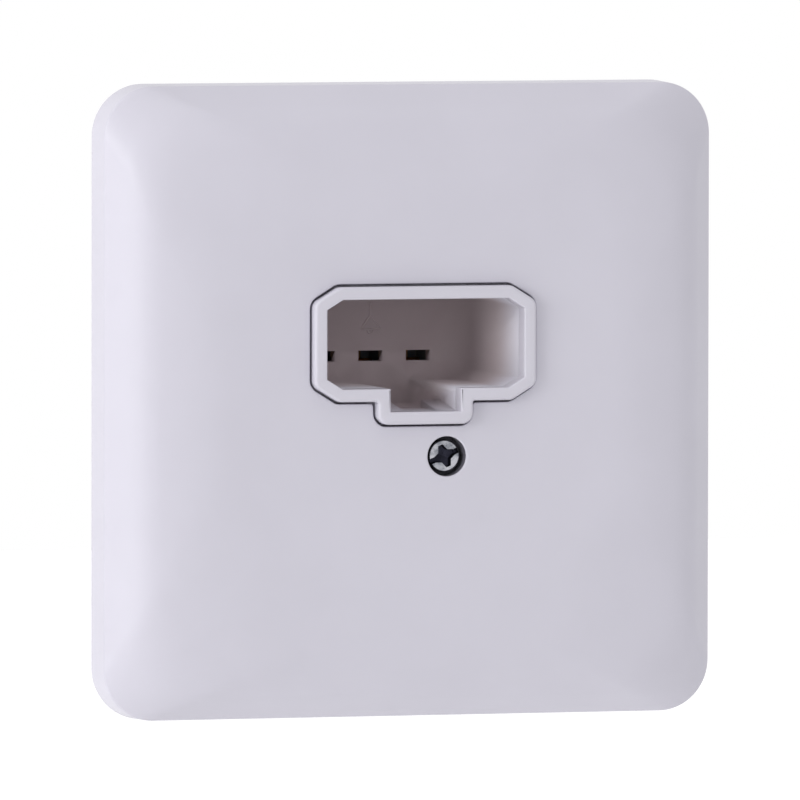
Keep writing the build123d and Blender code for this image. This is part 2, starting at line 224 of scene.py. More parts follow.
class Dresser:
    """Small helper that adds nodes to a material and links them.

    The Mix node's colour sockets share their names with its number sockets, so they are found
    by their place in its lists.
    """

    MIX_FIRST: int = 6
    MIX_SECOND: int = 7
    MIX_RESULT: int = 2

    def __init__(self, name: str) -> None:
        """Starts a node material with its output and its Principled shader.

        Args:
            name: the material's name.
        """
        self.material = bpy.data.materials.new(name)
        self.material.use_nodes = True
        self.tree = self.material.node_tree
        self.tree.nodes.clear()
        self.output = self.tree.nodes.new("ShaderNodeOutputMaterial")
        self.shader = self.tree.nodes.new("ShaderNodeBsdfPrincipled")
        self.tree.links.new(self.shader.outputs["BSDF"], self.output.inputs["Surface"])
        self.place = self.tree.nodes.new("ShaderNodeTexCoord").outputs["Object"]

    def set(self, **sockets: object) -> None:
        """Sets plain values on the shader's sockets; an underscore stands for a space."""
        for name, value in sockets.items():
            self.shader.inputs[name.replace("_", " ")].default_value = value

    def link(self, source: bpy.types.NodeSocket, target: bpy.types.NodeSocket) -> None:
        """Links two sockets."""
        self.tree.links.new(source, target)

    def noise(
        self, size_mm: float, detail: float, stretch: tuple[float, float, float] = (1, 1, 1)
    ) -> bpy.types.NodeSocket:
        """A noise pattern on Object coordinates.

        Args:
            size_mm: the width of a typical spot.
            detail: how many finer layers it has.
            stretch: how much the pattern is squeezed along each axis.

        Returns:
            The noise's factor socket.
        """
        mapping = self.tree.nodes.new("ShaderNodeMapping")
        mapping.inputs["Scale"].default_value = stretch
        self.link(self.place, mapping.inputs["Vector"])
        noise = self.tree.nodes.new("ShaderNodeTexNoise")
        noise.inputs["Scale"].default_value = 1.0 / (size_mm * MM)
        noise.inputs["Detail"].default_value = detail
        self.link(mapping.outputs["Vector"], noise.inputs["Vector"])
        return noise.outputs["Fac"]

    def ramp(
        self, factor: bpy.types.NodeSocket, stops: list[tuple[float, tuple[float, ...]]]
    ) -> bpy.types.NodeSocket:
        """A colour ramp.

        Args:
            factor: what it reads.
            stops: each stop's position and colour.

        Returns:
            The ramp's colour socket.
        """
        node = self.tree.nodes.new("ShaderNodeValToRGB")
        elements = node.color_ramp.elements
        while len(elements) < len(stops):
            elements.new(0.5)
        for element, (position, colour) in zip(elements, stops):
            element.position = position
            element.color = (*colour[:3], 1.0)
        self.link(factor, node.inputs["Fac"])
        return node.outputs["Color"]

    def spread(self, factor: bpy.types.NodeSocket, low: float, high: float) -> bpy.types.NodeSocket:
        """A factor mapped onto a range.

        Args:
            factor: what is mapped, from nought to one.
            low: what nought becomes.
            high: what one becomes.

        Returns:
            The result's socket.
        """
        node = self.tree.nodes.new("ShaderNodeMapRange")
        node.inputs["To Min"].default_value = low
        node.inputs["To Max"].default_value = high
        self.link(factor, node.inputs["Value"])
        return node.outputs["Result"]

    def depth(self, start_mm: float, end_mm: float) -> bpy.types.NodeSocket:
        """A smooth step from nought at one height from the wall to one at another.

        Args:
            start_mm: the height at which it is nought.
            end_mm: the height at which it is one.

        Returns:
            The result's socket.
        """
        split = self.tree.nodes.new("ShaderNodeSeparateXYZ")
        self.link(self.place, split.inputs["Vector"])
        node = self.tree.nodes.new("ShaderNodeMapRange")
        node.interpolation_type = "SMOOTHSTEP"
        node.inputs["From Min"].default_value = -start_mm * MM
        node.inputs["From Max"].default_value = -end_mm * MM
        self.link(split.outputs["Y"], node.inputs["Value"])
        return node.outputs["Result"]

    def mix(
        self, factor: bpy.types.NodeSocket, first: bpy.types.NodeSocket, second: bpy.types.NodeSocket
    ) -> bpy.types.NodeSocket:
        """Two colours mixed by a factor.

        Args:
            factor: nought for the first colour and one for the second.
            first: the first colour.
            second: the second colour.

        Returns:
            The mixed colour's socket.
        """
        node = self.tree.nodes.new("ShaderNodeMix")
        node.data_type = "RGBA"
        self.link(factor, node.inputs["Factor"])
        self.link(first, node.inputs[self.MIX_FIRST])
        self.link(second, node.inputs[self.MIX_SECOND])
        return node.outputs[self.MIX_RESULT]

    def bump(self, factor: bpy.types.NodeSocket, depth_mm: float) -> None:
        """Raises the surface by a pattern.

        Args:
            factor: the pattern.
            depth_mm: how far it raises the surface.
        """
        node = self.tree.nodes.new("ShaderNodeBump")
        node.inputs["Strength"].default_value = 1.0
        node.inputs["Distance"].default_value = depth_mm * MM
        self.link(factor, node.inputs["Height"])
        self.link(node.outputs["Normal"], self.shader.inputs["Normal"])


@dataclass(frozen=True)
class MouldedPlastic:
    """Moulded plastic with a faint unevenness of colour, gloss and surface.

    Where it has a painted-shade colour, that painted shade takes over from the one height down to the
    other.
    """

    name: str
    colour: tuple[float, float, float]
    unevenness: float = 0.015
    roughness: float = 0.36
    roughness_range: float = 0.03
    grain_mm: float = 0.35
    grain_depth_mm: float = 0.0004
    grain_detail: float = 4.0
    cloud_mm: float = 14.0
    cloud_detail: float = 3.0
    cloud_from: float = 0.3
    cloud_to: float = 0.7
    refraction: float = 1.45
    shine: float = 0.25
    painted_shade_colour: tuple[float, float, float] | None = None
    shade_from_mm: float = 12.4
    shade_to_mm: float = 0.0

    def clouded(self, dress: Dresser, colour: tuple[float, float, float]) -> bpy.types.NodeSocket:
        """A colour that drifts a little darker and lighter in clouds.

        Args:
            dress: the material's helper.
            colour: the colour between the two.

        Returns:
            The colour's socket.
        """
        darker = tuple(c * (1.0 - self.unevenness) for c in colour)
        lighter = tuple(min(c * (1.0 + self.unevenness), 1.0) for c in colour)
        cloud = dress.noise(self.cloud_mm, self.cloud_detail)
        return dress.ramp(cloud, [(self.cloud_from, darker), (self.cloud_to, lighter)])

    def material(self) -> bpy.types.Material:
        """Builds the node material.

        Returns:
            The new material.
        """
        dress = Dresser(self.name)
        colour = self.clouded(dress, self.colour)
        # Painted shade: from one height down to the other the colour turns to the darker painted-shade
        # colour.
        if self.painted_shade_colour:
            depth = dress.depth(self.shade_from_mm, self.shade_to_mm)
            colour = dress.mix(depth, colour, self.clouded(dress, self.painted_shade_colour))
        dress.link(colour, dress.shader.inputs["Base Color"])
        fine = dress.noise(self.grain_mm, self.grain_detail)
        low, high = self.roughness - self.roughness_range, self.roughness + self.roughness_range
        dress.link(dress.spread(fine, low, high), dress.shader.inputs["Roughness"])
        dress.bump(fine, self.grain_depth_mm)
        dress.set(IOR=self.refraction, Specular_IOR_Level=self.shine)
        return dress.material


@dataclass(frozen=True)
class WorkedMetal:
    """Metal with rolled or turned marks, a cloudy film and small changes of colour.

    Where it has a painted-shade colour, that painted shade takes over from the one height down to the
    other.
    """

    name: str
    colour: tuple[float, float, float]
    tarnish: tuple[float, float, float]
    roughness: float = 0.3
    roughness_range: float = 0.1
    mark_mm: float = 0.12
    mark_depth_mm: float = 0.003
    mark_stretch: tuple[float, float, float] = (1.0, 1.0, 1.0)
    mark_detail: float = 3.0
    film_mm: float = 3.0
    film_detail: float = 4.0
    film_from: float = 0.35
    film_to: float = 0.62
    painted_shade_colour: tuple[float, float, float] | None = None
    shade_range: float = 2.0
    shade_from_mm: float = 11.2
    shade_to_mm: float = 10.85

    def material(self) -> bpy.types.Material:
        """Builds the node material.

        Returns:
            The new material.
        """
        dress = Dresser(self.name)
        film = dress.noise(self.film_mm, self.film_detail)
        colour = dress.ramp(film, [(self.film_from, self.tarnish), (self.film_to, self.colour)])
        # Painted shade: from one height down to the other the metal turns to the dark painted-shade
        # colour, clouded by the same film.
        if self.painted_shade_colour:
            depth = dress.depth(self.shade_from_mm, self.shade_to_mm)
            lighter = tuple(self.shade_range * c for c in self.painted_shade_colour)
            deep = dress.ramp(film, [(self.film_from, self.painted_shade_colour), (self.film_to, lighter)])
            colour = dress.mix(depth, colour, deep)
        dress.link(colour, dress.shader.inputs["Base Color"])
        marks = dress.noise(self.mark_mm, self.mark_detail, self.mark_stretch)
        low, high = self.roughness - self.roughness_range, self.roughness + self.roughness_range
        dress.link(dress.spread(marks, low, high), dress.shader.inputs["Roughness"])
        dress.bump(marks, self.mark_depth_mm)
        dress.set(Metallic=1.0)
        return dress.material


COVER_PLASTIC = MouldedPlastic("cover_plastic", (0.565, 0.55, 0.62))
# The socket's plastic turns darker and warmer from 12.4 mm above the wall down to the wall: painted
# shade and painted warm light deep in the cavity, on one and the same plastic.
SOCKET_PLASTIC = MouldedPlastic(
    "socket_plastic", (0.56, 0.545, 0.61), grain_mm=0.5, painted_shade_colour=(0.52, 0.45, 0.465)
)
# Painted shade: a dark plastic for the screw hole's wall and seat, which are really the cover's own
# plastic.
SCREW_HOLE_PAINTED_SHADE = MouldedPlastic("screw_hole_painted_shade", (0.13, 0.125, 0.15), shine=0.15)
HOUSING_PLASTIC = MouldedPlastic(
    "housing_plastic", (0.30, 0.31, 0.33), unevenness=0.05, roughness=0.5, grain_depth_mm=0.01
)
YOKE_STEEL = WorkedMetal(
    "yoke_steel", (0.56, 0.57, 0.58), (0.44, 0.45, 0.48), roughness=0.38, mark_stretch=(0.08, 1.0, 1.0)
)
CONTACT_BRONZE = WorkedMetal("contact_bronze", (0.72, 0.45, 0.24), (0.55, 0.33, 0.18), roughness=0.3)
TERMINAL_BRASS = WorkedMetal("terminal_brass", (0.80, 0.62, 0.32), (0.66, 0.48, 0.22), roughness=0.28)
SCREW_ZINC = WorkedMetal(
    "screw_zinc", (0.66, 0.66, 0.68), (0.50, 0.51, 0.55), roughness=0.2, roughness_range=0.08
)
# The cover screw's zinc goes nearly black from just below the head's top downwards: painted shade in
# the slot, the cross and round the shank.
COVER_SCREW_ZINC = WorkedMetal(
    "cover_screw_zinc", (0.47, 0.47, 0.51), (0.17, 0.18, 0.21), roughness=0.24,
    film_mm=1.1, painted_shade_colour=(0.012, 0.012, 0.018)
)


@dataclass(frozen=True)
class Solids:
    """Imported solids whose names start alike, with the record's slot and the finish they share."""

    prefix: str
    slot: str
    finish: MouldedPlastic | WorkedMetal

    def build(self) -> None:
        """Gives every one of these solids the same new material."""
        material = self.finish.material()
        for name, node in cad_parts.items():
            if name.startswith(self.prefix):
                node.data.materials.clear()
                node.data.materials.append(material)
                LOG.info("%s wears %s", name, self.slot)


SOLIDS = (
    Solids("front_cover", "cover_plastic", COVER_PLASTIC),
    Solids("socket_body", "socket_plastic", SOCKET_PLASTIC),
    Solids("rear_housing", "housing_plastic", HOUSING_PLASTIC),
    Solids("mounting_yoke", "yoke_steel", YOKE_STEEL),
    Solids("earth_strap", "contact_bronze", YOKE_STEEL),
    Solids("contact_", "contact_bronze", CONTACT_BRONZE),
    Solids("terminal_screw_", "screw_zinc", SCREW_ZINC),
    Solids("cover_", "screw_zinc", SCREW_ZINC),
    Solids("housing_screw_", "screw_zinc", SCREW_ZINC),
    Solids("terminal_line", "terminal_brass", TERMINAL_BRASS),
    Solids("terminal_earth", "terminal_brass", TERMINAL_BRASS),
    Solids("terminal_neutral", "terminal_brass", TERMINAL_BRASS),
)


# The object's pieces


@dataclass(frozen=True)
class KeyedOutline:
    """The socket's mouth with its latch channel, as an outline seen from the room, and its rim."""

    width: float = 27.5
    tall: float = 11.95
    centre_z: float = 7.95
    chamfer_x: float = 2.2
    chamfer_z: float = 1.35
    channel_width: float = 9.85
    channel_drop: float = 3.1
    rim_wall: float = 1.7
    rim_corner: float = 1.5

    def loop(self, grow: float, radius: float, neck: float, step: float = 1.5) -> np.ndarray:
        """The outline grown evenly and rounded, anticlockwise from the channel's lower left.

        Every run moves out by grow along its own normal. A corner where the two normals are m
        and n moves by grow times their sum over one plus their product, which is where the moved
        runs meet.

        Args:
            grow: how far the outline moves out.
            radius: the radius of its outer corners.
            neck: the radius of the two inner corners, where the channel starts.
            step: the spacing of points along the runs.

        Returns:
            Rows of X and Z.
        """
        top = self.centre_z + self.tall / 2
        bottom = self.centre_z - self.tall / 2
        half, channel_half = self.width / 2, self.channel_width / 2
        right = [
            (channel_half, bottom - self.channel_drop),
            (channel_half, bottom),
            (half - self.chamfer_x, bottom),
            (half, bottom + self.chamfer_z),
            (half, top - self.chamfer_z),
            (half - self.chamfer_x, top),
        ]
        points = np.array(right + [(-x, z) for x, z in reversed(right)])
        along = np.roll(points, -1, axis=0) - points
        along /= np.linalg.norm(along, axis=1)[:, None]
        after = np.stack([along[:, 1], -along[:, 0]], axis=1)
        before = np.roll(after, 1, axis=0)
        product = np.sum(before * after, axis=1)[:, None]
        corners = points + grow * (before + after) / (1.0 + product)
        radii = [neck if abs(z - bottom) < MM and abs(x) < half / 2 else radius for x, z in points]
        return round_loop([tuple(corner) for corner in corners], radii, step)


@dataclass(frozen=True)
class ScrewPlace:
    """Where the cover's screw stands, and the height of the seat under its head."""

    x: float = 3.35
    z: float = -7.2
    seat: float = 9.3


@dataclass
class CoverShell:
    """The crowned square cover as smooth surfaces, in place of its solid."""

    corner_radius: float = 7.0
    draft: float = 0.15
    wall: float = 2.0
    edge_height: float = 5.5
    band_slope: float = math.radians(50.0)
    crease_radius: float = 8.5
    crown_radius: float = 33.0
    level_half: float = 26.5
    deck_margin: float = 0.5
    edge_rows: int = 9
    band_rows: int = 5
    crease_rows: int = 14
    crown_rows: int = 24
    edge_radius: float = 0.8
    corner_growth: float = 1.0
    arc_columns: int = 19
    run_columns: int = 60
    rim_gap: float = 0.32
    rim_neck: float = 0.45
    opening_edge: float = 0.15
    lip_rows: int = 6
    screw_hole_radius: float = 2.68
    screw_hole_edge: float = 0.22
    screw_boss_radius: float = 4.58
    screw_passage_radius: float = 1.7
    screw_seat_back: float = 7.8
    screw_columns: int = 72
    rib_thickness: float = 1.2
    rib_foot: float = 0.01
    rib_height: float = 4.2
    rib_spread: float = 36.0
    rib_inner: float = 35.8
    support: float = 0.35
    outline: KeyedOutline = KeyedOutline()
    screw: ScrewPlace = ScrewPlace()
    finish: MouldedPlastic = COVER_PLASTIC
    hole_painted_shade: MouldedPlastic = SCREW_HOLE_PAINTED_SHADE
    side: float = field(init=False)
    face_height: float = field(init=False)

    def __post_init__(self) -> None:
        """Reads the overall sizes from the solid."""
        low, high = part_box("front_cover")
        self.side = (high.x - low.x) / MM
        self.face_height = -low.y / MM

    @property
    def crown_turn(self) -> float:
        """Slope at which the crown's arc hands over to the crease's arc.

        Both arcs are tangent there, and the crease's arc is tangent to the band. Its centre so
        lies its own radius inside the band's line, which gives the cosine of the turn left.

        Returns:
            The slope, in radians.
        """
        slope, run = self.band_slope, self.side / 2 - self.draft - self.level_half
        rise = self.crown_radius - self.face_height + self.edge_height
        reach = run * math.sin(slope) + rise * math.cos(slope) - self.crease_radius
        return slope - math.acos(reach / (self.crown_radius - self.crease_radius))

    def ring(self, half: np.ndarray, radius: np.ndarray) -> tuple[np.ndarray, np.ndarray]:
        """Rounded squares, one row for each, with their columns anticlockwise.

        A quarter is an arc about the corner's centre and then the run along the top, spaced by
        the cosine of an even angle so that it is denser by the corners. The others are its turns.

        Args:
            half: half of each square's side.
            radius: each square's corner radius.

        Returns:
            X and Z, one row for each square.
        """
        angle = np.linspace(0.0, np.pi / 2, self.arc_columns)
        share = np.cos(np.linspace(0.0, np.pi, self.run_columns + 2)[1:-1])
        half, radius = half[:, None], radius[:, None]
        reach = half - radius
        x = np.concatenate([reach + radius * np.cos(angle), reach * share], axis=1)
        z = np.concatenate([reach + radius * np.sin(angle), half + 0 * share], axis=1)
        return np.concatenate([x, -z, -x, z], axis=1), np.concatenate([z, x, -z, -x], axis=1)

    def section(self, start: float, inset: float) -> tuple[np.ndarray, np.ndarray]:
        """The cover's section inwards from a place on its band to the level deck.

        The band is straight. On the crease's arc and then on the crown's, a point at slope s
        lies the radius times sin s outwards of the arc's centre and times cos s above it. Every
        part lies inset inside the outer one.

        Args:
            start: distance from the middle at which the section starts.
            inset: how far in the section lies.

        Returns:
            Distances from the middle, and heights.
        """
        slope, turn = self.band_slope, self.crown_turn
        between = self.crown_radius - self.crease_radius
        crown, crease = self.crown_radius - inset, self.crease_radius - inset
        crown_height = self.face_height - self.crown_radius
        bend = np.linspace(slope, turn, self.crease_rows)
        dome = np.linspace(turn, 0.0, self.crown_rows)[1:]
        bend_half = self.level_half + between * math.sin(turn) + crease * np.sin(bend)
        bend_height = crown_height + between * math.cos(turn) + crease * np.cos(bend)
        band_half = np.linspace(start, bend_half[0], self.band_rows)[:-1]
        half = np.concatenate([
            band_half, bend_half, self.level_half + crown * np.sin(dome),
            [self.level_half - self.deck_margin],
        ])
        height = np.concatenate([
            bend_height[0] - (band_half - bend_half[0]) * math.tan(slope), bend_height,
            crown_height + crown * np.cos(dome), [self.face_height - inset],
        ])
        return half, height

    def edge_half(self, inset: float) -> float:
        """Half the side of the cover at its edge, on the section that lies inset inside."""
        return self.side / 2 - self.draft - inset

    def stack(
        self, half: np.ndarray, height: np.ndarray, inset: float
    ) -> tuple[np.ndarray, np.ndarray, np.ndarray]:
        """A stack of rounded squares, whose corner radius grows with the distance inwards.

        Args:
            half: half of each square's side.
            height: each square's height.
            inset: how far in the surface lies.

        Returns:
            X, height and Z, one row for each square.
        """
        inward = self.edge_half(inset) - half
        corner = self.corner_radius - self.draft - inset + self.corner_growth * inward
        x, z = self.ring(half, corner)
        return x, height[:, None] + 0 * x, z

    def front(self, skin: Skin) -> np.ndarray:
        """Adds the wall, the rounded edge, the band, the crease and the crown.

        The edge is an arc tangent to the wall and the band: at angle a it lies r(1 - cos a)
        inwards and r sin a above its start.

        Args:
            skin: what it is added to.

        Returns:
            The ring at which the level deck starts, as rows of X and Z.
        """
        turn = math.pi / 2 - self.band_slope
        start = self.edge_height - self.edge_radius * math.tan(turn / 2)
        angle = np.linspace(0.0, turn, self.edge_rows)
        edge = self.edge_half(0.0) - self.edge_radius * (1.0 - np.cos(angle))
        half, height = self.section(edge[-1], 0.0)
        x, height, z = self.stack(
            np.concatenate([edge[:-1], half]),
            np.concatenate([start + self.edge_radius * np.sin(angle[:-1]), height]),
            0.0,
        )
        foot_x, foot_z = self.ring(np.array([self.side / 2]), np.array([self.corner_radius]))
        skin.grid(
            np.concatenate([foot_x, x]),
            np.concatenate([0 * foot_x, height]),
            np.concatenate([foot_z, z]),
        )
        return np.stack([x[-1], z[-1]], axis=1)

    def hollow(self, skin: Skin) -> np.ndarray:
        """Adds the back rim, the inner wall, the inner band, crease and crown.

        Args:
            skin: what it is added to.

        Returns:
            The ring at which the level underside of the deck starts, as rows of X and Z.
        """
        half, height = self.section(self.edge_half(self.wall), self.wall)
        x, height, z = self.stack(half, height, self.wall)
        foot = np.array([self.side / 2, self.side / 2 - self.wall])
        foot_x, foot_z = self.ring(foot, np.array([self.corner_radius, self.corner_radius - self.wall]))
        skin.grid(
            np.concatenate([foot_x, x]),
            np.concatenate([0 * foot_x, height]),
            np.concatenate([foot_z, z]),
            Facing.AGAINST,
        )
        return np.stack([x[-1], z[-1]], axis=1)

    def opening(self, skin: Skin) -> tuple[np.ndarray, np.ndarray]:
        """Adds the keyed opening's wall with its rounded front edge.

        At angle a the edge lies r(1 - sin a) outside the wall and r(1 - cos a) below the face.

        Args:
            skin: what it is added to.

        Returns:
            The outline on the face and the one on the underside.
        """
        outline, gap = self.outline, self.rim_gap
        loop = outline.loop(outline.rim_wall + gap, outline.rim_corner + gap, self.rim_neck)
        normal = outward_normals(loop)
        angle = np.linspace(0.0, np.pi / 2, self.lip_rows)
        edge = self.opening_edge
        out = np.concatenate([[self.support], edge * (1.0 - np.sin(angle)), [0.0]])
        height = np.concatenate([
            [self.face_height],
            self.face_height - edge + edge * np.cos(angle),
            [self.face_height - self.wall],
        ])
        x = loop[:, 0] + out[:, None] * normal[:, 0]
        z = loop[:, 1] + out[:, None] * normal[:, 1]
        skin.grid(x, height[:, None] + 0 * x, z)
        return np.stack([x[0], z[0]], axis=1), loop

    def screw_hole(self, skin: Skin) -> tuple[np.ndarray, np.ndarray]:
        """Adds the screw's hole, its seat and the boss behind it, as one turned profile.

        Its top is held below the keyed opening, which cuts the boss short there.

        Args:
            skin: what it is added to.

        Returns:
            The circle on the face and the boss's outline on the underside.
        """
        angle = np.linspace(0.0, np.pi / 2, self.lip_rows)
        edge, bore, seat = self.screw_hole_edge, self.screw_hole_radius, self.screw.seat
        radius = np.concatenate([
            [bore + edge + self.support],
            bore + edge * (1.0 - np.sin(angle)),
            [bore, self.screw_passage_radius, self.screw_passage_radius],
            [self.screw_boss_radius, self.screw_boss_radius],
        ])
        height = np.concatenate([
            [self.face_height],
            self.face_height - edge + edge * np.cos(angle),
            [seat, seat, self.screw_seat_back],
            [self.screw_seat_back, self.face_height - self.wall],
        ])
        turn = np.linspace(0.0, 2 * np.pi, self.screw_columns + 1)[:-1]
        x = self.screw.x + radius[:, None] * np.cos(turn)
        z = self.screw.z + radius[:, None] * np.sin(turn)
        outline = self.outline
        tab = outline.centre_z - outline.tall / 2 - outline.channel_drop - outline.rim_wall
        z = np.minimum(z, tab - self.rim_gap - self.opening_edge)
        skin.grid(x, height[:, None] + 0 * x, z)
        return np.stack([x[0], z[0]], axis=1), np.stack([x[-1], z[-1]], axis=1)

    def ribs(self, skin: Skin) -> None:
        """Adds the two small ribs on each inner wall that find the yoke's edge.

        A rib is an upright box, worked out for one wall and turned by quarters for the others.

        Args:
            skin: what they are added to.
        """
        outer = self.side / 2 - self.wall + self.draft
        for turn in range(4):
            cosine, sine = round(math.cos(turn * math.pi / 2)), round(math.sin(turn * math.pi / 2))
            for middle in (self.rib_spread / 2, -self.rib_spread / 2):
                low, high = middle - self.rib_thickness / 2, middle + self.rib_thickness / 2
                along = np.array([self.rib_inner, outer, outer, self.rib_inner])
                across = np.array([low, low, high, high])
                rows = np.array([self.rib_foot, self.rib_height])[:, None]
                x = (along * cosine - across * sine) + 0 * rows
                z = (along * sine + across * cosine) + 0 * rows
                skin.grid(x, rows + 0 * x, z)
                for level, facing in zip(rows[:, 0], (Facing.AGAINST, Facing.ALONG)):
                    skin.fill([np.stack([x[0], z[0]], axis=1)], level, facing)

    def shade_hole(self, piece: bpy.types.Object) -> None:
        """Gives the wall and the seat of the screw's hole a darker material of painted shade, though
        they are the cover's own plastic.

        Args:
            piece: the finished shell.
        """
        faces = piece.data.polygons
        centre = np.empty(3 * len(faces))
        faces.foreach_get("center", centre)
        x, height, z = centre.reshape(-1, 3).T / MM * np.array([[1.0], [-1.0], [1.0]])
        near = np.hypot(x - self.screw.x, z - self.screw.z) < self.screw_hole_radius + MM
        inside = (height < self.face_height - self.screw_hole_edge) & (height > self.screw_seat_back)
        piece.data.materials.append(self.hole_painted_shade.material())
        faces.foreach_set("material_index", (near & inside).astype(np.int32))

    def build(self) -> None:
        """Builds the shell, puts it in the solid's place and dresses it."""
        skin = Skin()
        front, back = self.front(skin), self.hollow(skin)
        face, under = self.opening(skin)
        hole, boss = self.screw_hole(skin)
        skin.fill([front, face, hole], self.face_height, Facing.ALONG)
        skin.fill([back, under, boss], self.face_height - self.wall, Facing.AGAINST)
        self.ribs(skin)
        piece = skin.build("cover_shell")
        place(piece, self.finish, "front_cover")
        self.shade_hole(piece)


@dataclass
class SocketShell:
    """The socket body with its rim worked out smooth, in place of its solid.

    Below the cut it is a copy of the solid. Above it the rim is a wall between two keyed
    outlines, rounded at its front edges and at its outer corners.
    """

    cut_height: float = 11.05
    cut_slack: float = 0.0001
    solid_merge: float = 0.001
    rim_height: float = 13.8
    rim_neck: float = 0.3
    mouth_corner: float = 0.1
    edge_radius: float = 0.42
    lip_radius: float = 0.2
    edge_rows: int = 7
    outline: KeyedOutline = KeyedOutline()
    finish: MouldedPlastic = SOCKET_PLASTIC

    def wall(self, skin: Skin, loop: np.ndarray, radius: float, facing: Facing) -> np.ndarray:
        """Adds one side of the rim, with its rounded front edge.

        At angle a the edge lies r(1 - cos a) into the wall and r sin a above its start.

        Args:
            skin: what it is added to.
            loop: the side's outline.
            radius: the edge's radius.
            facing: ALONG for the outer side, AGAINST for the inner one.

        Returns:
            The outline on the rim's face.
        """
        angle = np.linspace(0.0, np.pi / 2, self.edge_rows)
        into = np.concatenate([[0.0], radius * (1.0 - np.cos(angle))])
        height = np.concatenate([[self.cut_height], self.rim_height - radius + radius * np.sin(angle)])
        normal = -facing.value * outward_normals(loop)
        x = loop[:, 0] + into[:, None] * normal[:, 0]
        z = loop[:, 1] + into[:, None] * normal[:, 1]
        skin.grid(x, height[:, None] + 0 * x, z, facing)
        return np.stack([x[-1], z[-1]], axis=1)

    def lower(self) -> bmesh.types.BMesh:
        """A merged copy of the solid below the cut, closed there by a flat face.

        Returns:
            The copy, for the caller to free.
        """
        work = bmesh.new()
        work.from_mesh(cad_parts["socket_body"].data)
        bmesh.ops.remove_doubles(work, verts=work.verts, dist=self.solid_merge * MM)
        made = bmesh.ops.bisect_plane(
            work,
            geom=work.verts[:] + work.edges[:] + work.faces[:],
            dist=self.cut_slack * MM,
            plane_co=(0.0, -self.cut_height * MM, 0.0),
            plane_no=(0.0, -1.0, 0.0),
            clear_outer=True,
        )
        rim = [item for item in made["geom_cut"] if isinstance(item, bmesh.types.BMEdge)]
        bmesh.ops.triangle_fill(work, edges=rim, use_beauty=True, normal=(0.0, -1.0, 0.0))
        return work

    def build(self) -> None:
        """Builds the body, puts it in the solid's place and dresses it."""
        skin, outline = Skin(), self.outline
        outer = outline.loop(outline.rim_wall, outline.rim_corner, self.rim_neck)
        inner = outline.loop(0.0, self.mouth_corner, self.mouth_corner)
        outer_face = self.wall(skin, outer, self.edge_radius, Facing.ALONG)
        inner_face = self.wall(skin, inner, self.lip_radius, Facing.AGAINST)
        skin.fill([outer_face, inner_face], self.rim_height, Facing.ALONG)
        skin.fill([outer, inner], self.cut_height, Facing.AGAINST)
        piece = skin.build("socket_shell")
        work = self.lower()
        work.from_mesh(piece.data)
        bmesh.ops.recalc_face_normals(work, faces=work.faces)
        work.to_mesh(piece.data)
        work.free()
        smooth(piece.data)
        place(piece, self.finish, "socket_body")


